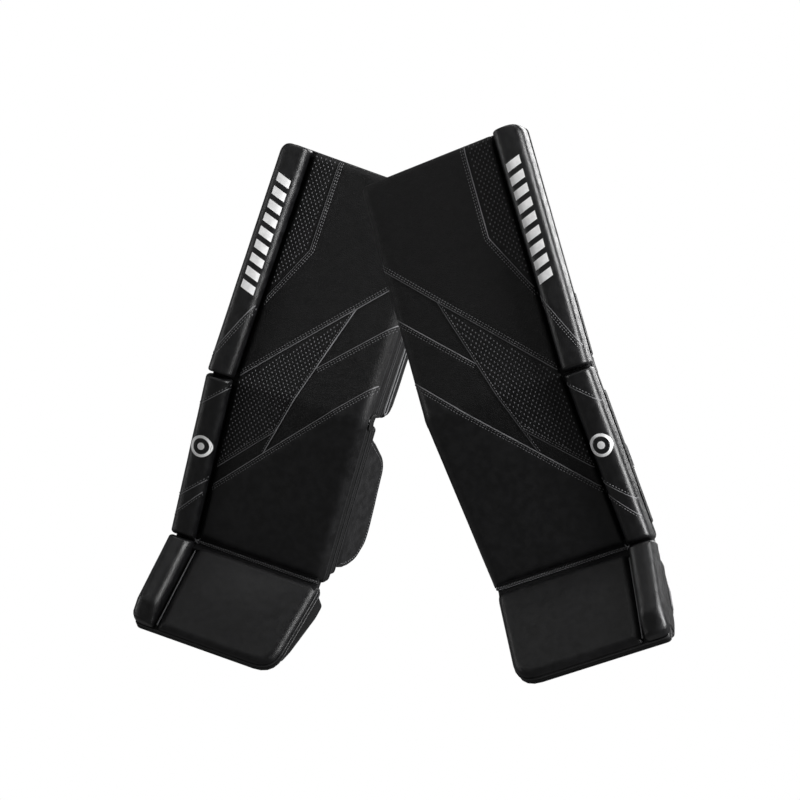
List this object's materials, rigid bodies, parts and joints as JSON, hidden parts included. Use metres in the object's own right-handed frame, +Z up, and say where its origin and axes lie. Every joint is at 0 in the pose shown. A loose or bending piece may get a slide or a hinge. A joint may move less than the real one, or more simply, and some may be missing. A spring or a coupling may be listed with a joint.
{
  "type": "goalie leg pads",
  "caption": "Pair of black senior ice hockey goalie leg pads with outer rolls, knee blocks, calf wings and straps, crossed at the thighs as they hang upright.",
  "frame": {"origin": "the place of the wearer's right shin, in the channel behind the right pad's shin section", "axes": "+Z up, the pads face -Y and lean in towards each other, +X to the wearer's left"},
  "size_m": [0.9681, 0.5053, 0.8519],
  "materials": {
    "smooth_leather": "smooth black synthetic leather with a soft sheen and thin grey edge lines",
    "roll_leather": "smooth black synthetic leather, stitched and perforated",
    "side_leather": "black synthetic leather on the pad's sides and blocks, with piping",
    "wing_leather": "black synthetic leather on stiff board, bound along its edge",
    "lining": "black brushed nylon lining with a fine knit",
    "landing_nylon": "black hard-wearing woven nylon",
    "webbing": "black elastic webbing, ribbed along its length",
    "tab_rubber": "matte black moulded pull tab with hook tape",
    "toe_plastic": "matte black plastic",
    "edge_line": "thin grey raw edges, piping and thread",
    "white_print": "flat white plain marks"
  },
  "bodies": {
    "right_shin": {"right_shin_face": "smooth_leather", "right_shin_core": "side_leather", "right_shin_liner": "lining", "right_shin_roll": "roll_leather", "right_inner_gusset": "side_leather", "right_calf_cushion": "lining"},
    "right_thigh": {"right_thigh_face": "smooth_leather", "right_thigh_core": "side_leather", "right_thigh_liner": "lining", "right_thigh_roll": "roll_leather", "right_knee_block_base": "landing_nylon", "right_knee_block_riser": "side_leather", "right_knee_landing_pad": "landing_nylon", "right_knee_cradle": "lining"},
    "right_boot": {"right_boot_face": "smooth_leather", "right_boot_core": "side_leather", "right_boot_roll": "roll_leather", "right_inner_boot_gusset": "side_leather", "right_toe_bridge": "toe_plastic"},
    "right_inner_calf_wing": {"right_inner_calf_wing": "wing_leather"},
    "right_outer_calf_wing": {"right_outer_calf_wing": "wing_leather"},
    "right_outer_knee_wing": {"right_outer_knee_wing": "wing_leather"},
    "right_outer_boot_flap": {"right_outer_boot_flap": "wing_leather"},
    "right_calf_strap": {"right_calf_strap": "webbing", "right_calf_strap_tab": "tab_rubber"},
    "right_knee_strap": {"right_knee_strap": "webbing", "right_knee_strap_tab": "tab_rubber"},
    "right_boot_strap": {"right_boot_strap": "webbing", "right_boot_strap_tab": "tab_rubber"},
    "left_shin": {"left_shin_face": "smooth_leather", "left_shin_core": "side_leather", "left_shin_liner": "lining", "left_shin_roll": "roll_leather", "left_inner_gusset": "side_leather", "left_calf_cushion": "lining"},
    "left_thigh": {"left_thigh_face": "smooth_leather", "left_thigh_core": "side_leather", "left_thigh_liner": "lining", "left_thigh_roll": "roll_leather", "left_knee_block_base": "landing_nylon", "left_knee_block_riser": "side_leather", "left_knee_landing_pad": "landing_nylon", "left_knee_cradle": "lining"},
    "left_boot": {"left_boot_face": "smooth_leather", "left_boot_core": "side_leather", "left_boot_roll": "roll_leather", "left_inner_boot_gusset": "side_leather", "left_toe_bridge": "toe_plastic"},
    "left_inner_calf_wing": {"left_inner_calf_wing": "wing_leather"},
    "left_outer_calf_wing": {"left_outer_calf_wing": "wing_leather"},
    "left_outer_knee_wing": {"left_outer_knee_wing": "wing_leather"},
    "left_outer_boot_flap": {"left_outer_boot_flap": "wing_leather"},
    "left_calf_strap": {"left_calf_strap": "webbing", "left_calf_strap_tab": "tab_rubber"},
    "left_knee_strap": {"left_knee_strap": "webbing", "left_knee_strap_tab": "tab_rubber"},
    "left_boot_strap": {"left_boot_strap": "webbing", "left_boot_strap_tab": "tab_rubber"}
  },
  "joints": [
    {"name": "left_pad_apart", "type": "slide", "parent": "right_shin", "child": "left_shin", "axis": [0, -1, 0], "range_m": [0, 0.12]},
    {"name": "right_thigh_flex", "type": "hinge", "parent": "right_shin", "child": "right_thigh", "pos_m": [0.03772, -0.09543, 0.1182], "axis": [0.9527, 0, -0.304], "range_deg": [-5, 8]},
    {"name": "right_boot_flex", "type": "hinge", "parent": "right_shin", "child": "right_boot", "pos_m": [-0.04584, -0.042, -0.14365], "axis": [0.9527, 0, -0.304], "range_deg": [-4, 14]},
    {"name": "right_inner_calf_wing_fold", "type": "hinge", "parent": "right_shin", "child": "right_inner_calf_wing", "pos_m": [0.11202, -0.00057, -0.05191], "axis": [-0.2984, 0.1908, -0.9352], "range_deg": [-8, 30]},
    {"name": "right_outer_calf_wing_fold", "type": "hinge", "parent": "right_shin", "child": "right_outer_calf_wing", "pos_m": [-0.12484, -0.01873, 0.01998], "axis": [0.2984, -0.1908, 0.9352], "range_deg": [0, 50]},
    {"name": "right_outer_knee_wing_fold", "type": "hinge", "parent": "right_thigh", "child": "right_outer_knee_wing", "pos_m": [-0.06022, -0.04116, 0.22245], "axis": [0.3029, 0.0872, 0.949], "range_deg": [0, 45]},
    {"name": "right_outer_boot_flap_fold", "type": "hinge", "parent": "right_boot", "child": "right_outer_boot_flap", "pos_m": [-0.19053, -0.05095, -0.18587], "axis": [0.2659, 0.4848, 0.8332], "range_deg": [0, 40]},
    {"name": "right_knee_strap_open", "type": "hinge", "parent": "right_outer_knee_wing", "child": "right_knee_strap", "pos_m": [-0.0192, 0.03104, 0.1964], "axis": [0.3029, 0.0872, 0.949], "range_deg": [0, 80]},
    {"name": "right_calf_strap_open", "type": "hinge", "parent": "right_outer_calf_wing", "child": "right_calf_strap", "pos_m": [-0.09566, 0.07635, 0.02258], "axis": [0.2984, -0.1908, 0.9352], "range_deg": [0, 80]},
    {"name": "right_boot_strap_open", "type": "hinge", "parent": "right_outer_boot_flap", "child": "right_boot_strap", "pos_m": [-0.18171, 0.00884, -0.20428], "axis": [0.2659, 0.4848, 0.8332], "range_deg": [0, 80]},
    {"name": "left_thigh_flex", "type": "hinge", "parent": "left_shin", "child": "left_thigh", "pos_m": [0.48759, -0.36543, 0.1182], "axis": [0.9527, 0, 0.304], "range_deg": [-5, 8]},
    {"name": "left_boot_flex", "type": "hinge", "parent": "left_shin", "child": "left_boot", "pos_m": [0.57116, -0.312, -0.14365], "axis": [0.9527, 0, 0.304], "range_deg": [-4, 14]},
    {"name": "left_inner_calf_wing_fold", "type": "hinge", "parent": "left_shin", "child": "left_inner_calf_wing", "pos_m": [0.41329, -0.27057, -0.05191], "axis": [-0.2984, -0.1908, 0.9352], "range_deg": [-8, 30]},
    {"name": "left_outer_calf_wing_fold", "type": "hinge", "parent": "left_shin", "child": "left_outer_calf_wing", "pos_m": [0.65015, -0.28873, 0.01998], "axis": [0.2984, 0.1908, -0.9352], "range_deg": [0, 50]},
    {"name": "left_outer_knee_wing_fold", "type": "hinge", "parent": "left_thigh", "child": "left_outer_knee_wing", "pos_m": [0.58553, -0.31116, 0.22245], "axis": [0.3029, -0.0872, -0.949], "range_deg": [0, 45]},
    {"name": "left_outer_boot_flap_fold", "type": "hinge", "parent": "left_boot", "child": "left_outer_boot_flap", "pos_m": [0.71584, -0.32095, -0.18587], "axis": [0.2659, -0.4848, -0.8332], "range_deg": [0, 40]},
    {"name": "left_knee_strap_open", "type": "hinge", "parent": "left_outer_knee_wing", "child": "left_knee_strap", "pos_m": [0.54451, -0.23896, 0.1964], "axis": [0.3029, -0.0872, -0.949], "range_deg": [0, 80]},
    {"name": "left_calf_strap_open", "type": "hinge", "parent": "left_outer_calf_wing", "child": "left_calf_strap", "pos_m": [0.62098, -0.19365, 0.02258], "axis": [0.2984, 0.1908, -0.9352], "range_deg": [0, 80]},
    {"name": "left_boot_strap_open", "type": "hinge", "parent": "left_outer_boot_flap", "child": "left_boot_strap", "pos_m": [0.70702, -0.26116, -0.20428], "axis": [0.2659, -0.4848, -0.8332], "range_deg": [0, 80]}
  ]
}
